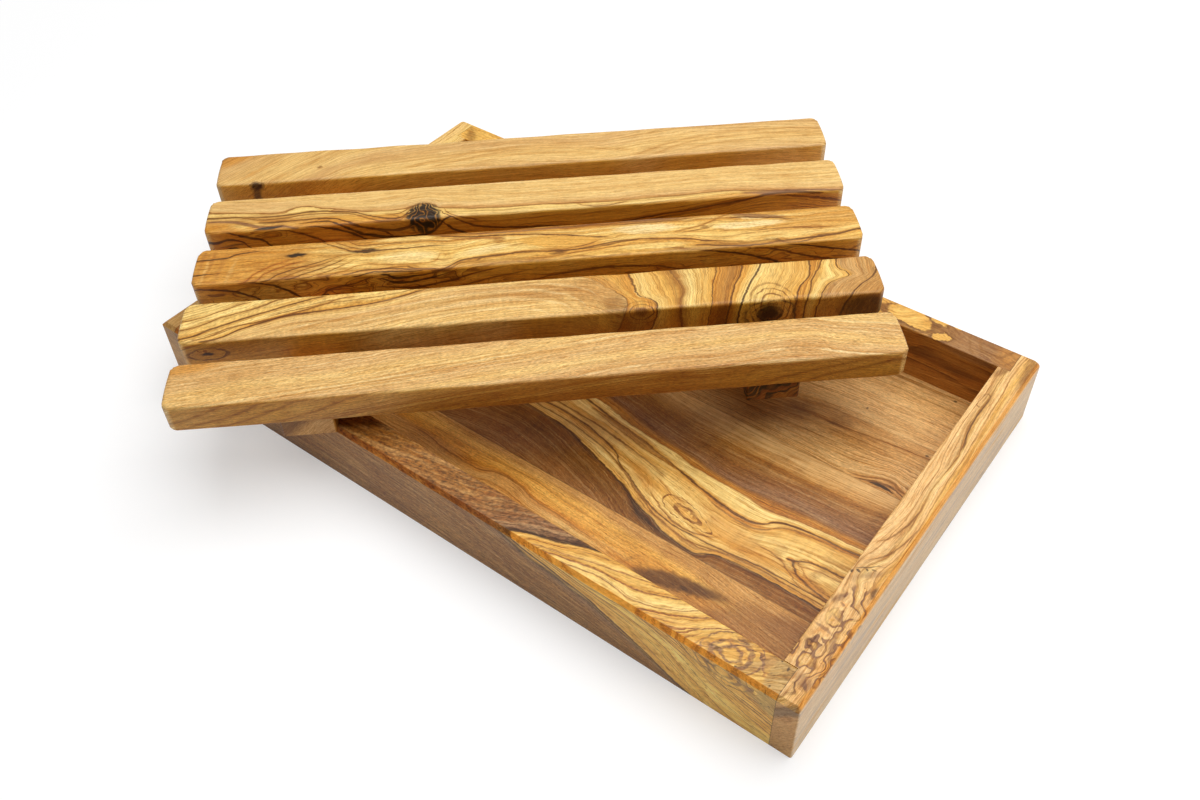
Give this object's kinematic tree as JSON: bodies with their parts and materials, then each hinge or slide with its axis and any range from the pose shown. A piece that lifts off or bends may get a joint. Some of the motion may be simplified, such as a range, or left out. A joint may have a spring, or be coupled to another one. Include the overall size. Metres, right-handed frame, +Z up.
{
  "type": "bread board with crumb catcher",
  "caption": "Slatted wooden cutting grate lying askew on the rim of a shallow rectangular wooden crumb tray; it lifts off.",
  "frame": {"origin": "middle of the crumb tray's underside", "axes": "+X along the tray's length to the right, +Y across the tray to the back, +Z up"},
  "size_m": [0.4592, 0.3972, 0.0655],
  "materials": {
    "olive_tray_boards": "oiled, sanded",
    "olive_floor": "oiled, sanded",
    "olive_slats": "oiled, sanded",
    "olive_battens": "oiled, sanded",
    "dowel_wood": "plain"
  },
  "bodies": {
    "crumb_tray": {"front_wall": "olive_tray_boards", "back_wall": "olive_tray_boards", "left_end_board": "olive_tray_boards", "right_end_board": "olive_tray_boards", "floor_plank_front": "olive_floor", "floor_plank_middle": "olive_floor", "floor_plank_back": "olive_floor"},
    "slatted_grate": {"slat_1": "olive_slats", "slat_2": "olive_slats", "slat_3": "olive_slats", "slat_4": "olive_slats", "slat_5": "olive_slats", "left_batten": "olive_battens", "right_batten": "olive_battens", "grate_dowels": "dowel_wood"}
  },
  "joints": [
    {"name": "grate_lift", "type": "slide", "parent": "crumb_tray", "child": "slatted_grate", "axis": [0, 0, 1], "range_m": [0, 0.08]}
  ]
}
